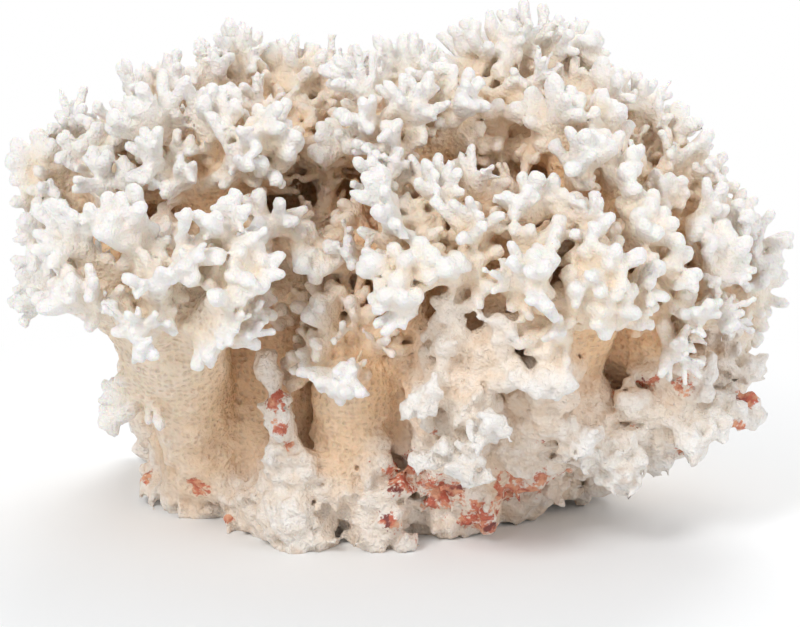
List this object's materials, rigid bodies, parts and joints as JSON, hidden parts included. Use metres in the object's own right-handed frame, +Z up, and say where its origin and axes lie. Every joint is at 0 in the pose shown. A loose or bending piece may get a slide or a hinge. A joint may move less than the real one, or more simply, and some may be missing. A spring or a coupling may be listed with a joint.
{
  "type": "branching coral",
  "caption": "Dried colony of white branching coral: stout stems from a low crusted foot, forking into crowns of blunt finger-like branchlets, cut flat underneath to stand on a shelf.",
  "frame": {"origin": "on the flat cut that the foot stands on, under the middle of the colony's width", "axes": "+Z up, and the colony's best side faces -Y, with +X to the right as seen from there"},
  "size_m": [0.1692, 0.1375, 0.1124],
  "materials": {
    "coral": "matt, fine-grained, with cup-shaped pits on the stems",
    "crust": "matt and chalky, with red and pink encrusting patches"
  },
  "bodies": {
    "root": {"back_left_branch": "coral", "back_low_branch": "coral", "back_low_left_branch": "coral", "back_middle_branch": "coral", "back_middle_left_branch": "coral", "back_middle_right_branch": "coral", "back_right_branch": "coral", "far_left_branch": "coral", "far_right_branch": "coral", "foot_crust": "crust", "front_left_branch": "coral", "front_middle_branch": "coral", "front_middle_left_branch": "coral", "front_right_branch": "coral", "front_spire": "crust", "left_recess_branch": "coral", "low_right_arm": "crust", "low_right_back_arm": "crust", "low_right_wall": "crust", "middle_right_branch": "coral", "notch_branch": "coral", "pitted_stem": "crust", "recess_branch": "coral", "red_knob": "crust", "right_branch": "coral", "right_low_branch": "coral", "right_top_branch": "coral", "right_upper_branch": "coral", "round_stub": "crust", "top_left_branch": "coral", "top_middle_branch": "coral", "top_middle_left_branch": "coral", "top_right_branch": "coral", "upper_left_branch": "coral"}
  },
  "joints": []
}
